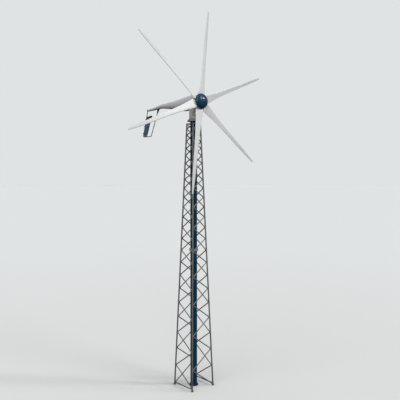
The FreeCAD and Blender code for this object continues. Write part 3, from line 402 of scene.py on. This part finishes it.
# ---------------------------------------------------------------- detail pieces
def piece(name, bm, body, material):
    """New object from a bmesh, smooth shaded, riding on a body."""
    bmesh.ops.recalc_face_normals(bm, faces=bm.faces)
    mesh = bpy.data.meshes.new(name)
    bm.to_mesh(mesh)
    bm.free()
    for face in mesh.polygons:
        face.use_smooth = True
    mesh.materials.append(material)
    made = bpy.data.objects.new(name, mesh)
    bpy.context.collection.objects.link(made)
    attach(made, body)
    return made


def circle(count):
    """Cosine and sine of evenly spaced directions round a circle."""
    angles = [2 * math.pi * k / count for k in range(count)]
    return [(math.cos(angle), math.sin(angle)) for angle in angles]


def join_rings(bm, ring, following):
    """Band of four-sided faces between two rings with the same number of points."""
    sides = len(ring)
    for k in range(sides):
        after = (k + 1) % sides
        bm.faces.new((ring[k], ring[after], following[after], following[k]))


def bead(bm, points, thickness, sides=6):
    """Closed lumpy weld bead through a loop of points, with given outward directions."""
    rings = []
    count = len(points)
    for index, (point, outward) in enumerate(points):
        ahead = (points[(index + 1) % count][0] - points[index - 1][0]).normalized()
        side = ahead.cross(outward).normalized()
        radius = thickness * (1.0 + LUMP_SHARE * math.sin(LUMP_TURN * index))
        rings.append([bm.verts.new(point + (outward * cosine + side * sine) * radius)
                      for cosine, sine in circle(sides)])
    for ring, following in zip(rings, rings[1:] + rings[:1]):
        join_rings(bm, ring, following)


def button(bm, place, normal, radius, rise=BUTTON_RISE):
    """Low domed head standing on a surface, its rise given as a share of its radius."""
    turn = normal.to_track_quat("Z", "Y").to_matrix()
    profile = [BUTTON_SKIRT] + [(share, level * rise) for share, level in BUTTON_RINGS]
    rings = []
    for share, level in profile:
        reach = radius * share
        rings.append([bm.verts.new(place + turn @ Vector((reach * cosine, reach * sine, radius * level)))
                      for cosine, sine in circle(BUTTON_SIDES)])
    for ring, following in zip(rings, rings[1:]):
        join_rings(bm, ring, following)
    crown = bm.verts.new(place + turn @ Vector((0, 0, radius * rise)))
    for k in range(BUTTON_SIDES):
        bm.faces.new((rings[-1][k], rings[-1][(k + 1) % BUTTON_SIDES], crown))


def leg_line(node):
    """Lowest and highest point of a leg's centre line."""
    points = [vertex.co for vertex in node.data.vertices]
    middle = []
    for height in (min(point.z for point in points), max(point.z for point in points)):
        near = [point for point in points if abs(point.z - height) < LEG_END]
        middle.append(sum(near, Vector()) / len(near))
    return middle


def weld_places(leg, bar):
    """Where a bent bar touches a leg: the leg's point and the way out to the bar."""
    foot, top = leg_line(leg)
    along = (top - foot).normalized()
    reach = LEG_RADIUS + WELD_REACH
    touching = []
    for vertex in bar.data.vertices:
        on_leg = foot + along * (vertex.co - foot).dot(along)
        if (vertex.co - on_leg).length < reach:
            touching.append((on_leg.z, on_leg, vertex.co - on_leg))
    touching.sort(key=lambda item: item[0])
    groups = []
    for item in touching:
        if not groups or item[0] - groups[-1][-1][0] > WELD_GAP:
            groups.append([])
        groups[-1].append(item)
    places = []
    for group in groups:
        on_leg = sum((item[1] for item in group), Vector()) / len(group)
        outward = sum((item[2] for item in group), Vector()).normalized()
        places.append((on_leg, outward, along))
    return places


def lacing_welds(frame, materials):
    """Oval beads round the places where the bent bars meet the legs."""
    bm = bmesh.new()
    for leg in LEGS:
        for bar in LACING:
            for on_leg, outward, along in weld_places(frame["nodes"][leg], frame["nodes"][bar]):
                across = along.cross(outward).normalized()
                centre = on_leg + outward * (LEG_RADIUS + WELD_STANDOFF)
                loop = []
                for cosine, sine in circle(WELD_POINTS):
                    spread = along * (WELD_LENGTH * cosine) + across * (WELD_WIDTH * sine)
                    loop.append((centre + spread - outward * WELD_WRAP * sine ** 2, outward))
                bead(bm, loop, WELD_BEAD)
    piece("lacing_welds", bm, "tower", materials["lattice_paint"])


def ring_weld(bm, radius, height):
    """Level bead round the centre pole."""
    loop = []
    for cosine, sine in circle(FLANGE_BEAD_POINTS):
        outward = Vector((cosine, sine, 0))
        loop.append((outward * radius + Vector((0, 0, height)), outward))
    bead(bm, loop, FLANGE_BEAD, 8)


def pole_welds(materials):
    """Fillet welds round the pole where it meets its flanges."""
    bm = bmesh.new()
    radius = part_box("pole_lower")[1][0]
    bottom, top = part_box("mid_flanges")
    for height in (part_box("pole_base_flange")[1][2], bottom[2], top[2]):
        ring_weld(bm, radius, height)
    piece("pole_welds", bm, "tower", materials["pole_paint"])


def surface(nodes):
    """Search tree over the surfaces of some nodes."""
    points = []
    faces = []
    for node in nodes:
        first = len(points)
        points.extend(vertex.co.copy() for vertex in node.data.vertices)
        faces.extend([first + index for index in face.vertices] for face in node.data.polygons)
    return BVHTree.FromPolygons(points, faces)


def seam_screws(frame, materials):
    """Button heads above and below the split line on both sides of the nacelle shell."""
    shell = surface([frame["nodes"]["nacelle_shell_upper"], frame["nodes"]["nacelle_shell_lower"]])
    bm = bmesh.new()
    for side in (-1, 1):
        for back in SEAM_SCREWS:
            for offset in (-SEAM_OFFSET, SEAM_OFFSET):
                start = Vector((side, back, SEAM_HEIGHT + offset))
                place, normal = shell.ray_cast(start, Vector((-side, 0, 0)))[:2]
                if normal.x * side < 0:
                    normal = -normal
                button(bm, place, normal, SEAM_SCREW_RADIUS)
    piece("seam_screws", bm, "nacelle", materials["zinc_steel"])


def vane_rivets(frame, materials):
    """Dome rivets through the clips, the bottom channel and the edging, on both faces."""
    bm = bmesh.new()
    for name, places in RIVET_ROWS:
        skin = surface([frame["nodes"][name]])
        for back, height in places:
            for side in (-1, 1):
                place = skin.ray_cast(Vector((side, back, height)), Vector((-side, 0, 0)))[0]
                if place is not None:
                    button(bm, place, Vector((side, 0, 0)), RIVET_RADIUS)
    piece("vane_rivets", bm, "nacelle", materials["zinc_steel"])


def spinner_plug(frame, materials):
    """Low moulded plug in the middle of the spinner."""
    nose = min((vertex.co for vertex in frame["nodes"]["spinner"].data.vertices), key=lambda co: co.y)
    forward = Vector((0, -math.cos(SHAFT_TILT), math.sin(SHAFT_TILT)))
    bm = bmesh.new()
    button(bm, nose, forward, PLUG_RADIUS, PLUG_RISE)
    piece("spinner_plug", bm, "rotor", materials["spinner_gelcoat"])


# ---------------------------------------------------------------- stage, light and camera
def sky():
    """Even pale backdrop; the lamps alone light the turbine."""
    world = bpy.data.worlds.new("studio")
    bpy.context.scene.world = world
    bpy.context.scene.view_settings.view_transform = "Standard"
    world.cycles_visibility.diffuse = False
    world.cycles_visibility.glossy = False
    world.use_nodes = True
    background = world.node_tree.nodes["Background"]
    background.inputs["Color"].default_value = (*SKY_COLOUR, 1)


def floor():
    """Wide paper floor whose tone runs into the backdrop's with distance."""
    mesh = bpy.data.meshes.new("floor")
    corners = [(-FLOOR_HALF, -FLOOR_HALF, 0), (FLOOR_HALF, -FLOOR_HALF, 0),
               (FLOOR_HALF, FLOOR_HALF, 0), (-FLOOR_HALF, FLOOR_HALF, 0)]
    mesh.from_pydata(corners, [], [(0, 1, 2, 3)])
    ground = bpy.data.objects.new("floor", mesh)
    bpy.context.collection.objects.link(ground)
    look = Look("floor_paper")
    near = look.mix(look.noise(0.6, 3.0), FLOOR_COLOUR, shade(FLOOR_COLOUR, 0.985))
    far = look.root(look.reach((0, 0, 0), 0.0, FLOOR_FAR))
    look.colour(look.mix(far, near, FLOOR_FAR_COLOUR))
    look.set("Roughness", 0.95)
    look.set("Specular IOR Level", 0.0)
    mesh.materials.append(look.material)
    ground.visible_diffuse = False
    ground.visible_glossy = False


def sun(name, towards, energy, angle_degrees):
    """Distant soft lamp shining from a direction given as a vector towards the lamp."""
    light = bpy.data.lights.new(name, "SUN")
    light.energy = energy
    light.angle = math.radians(angle_degrees)
    lamp = bpy.data.objects.new(name, light)
    lamp.rotation_euler = Vector(towards).to_track_quat("Z", "Y").to_euler()
    bpy.context.collection.objects.link(lamp)


def camera():
    """Plain lens at a named place, turned and tipped down by two angles."""
    data = bpy.data.cameras.new("camera")
    data.lens = CAMERA_LENS
    data.sensor_width = SENSOR_WIDTH
    data.clip_end = CAMERA_REACH
    eye = bpy.data.objects.new("camera", data)
    backwards = Vector((math.sin(CAMERA_AZIMUTH) * math.cos(CAMERA_DOWN),
                        -math.cos(CAMERA_AZIMUTH) * math.cos(CAMERA_DOWN),
                        math.sin(CAMERA_DOWN)))
    eye.location = CAMERA_PLACE
    eye.rotation_euler = backwards.to_track_quat("Z", "Y").to_euler()
    bpy.context.collection.objects.link(eye)
    bpy.context.scene.camera = eye


def main():
    """Dress the CAD nodes, add the fine detail and set the stage."""
    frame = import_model()
    materials = finishes()
    dress_nodes(frame, materials)
    lacing_welds(frame, materials)
    pole_welds(materials)
    seam_screws(frame, materials)
    vane_rivets(frame, materials)
    spinner_plug(frame, materials)
    sky()
    floor()
    for name, towards, energy, angle_degrees in LAMPS:
        sun(name, towards, energy, angle_degrees)
    camera()


main()
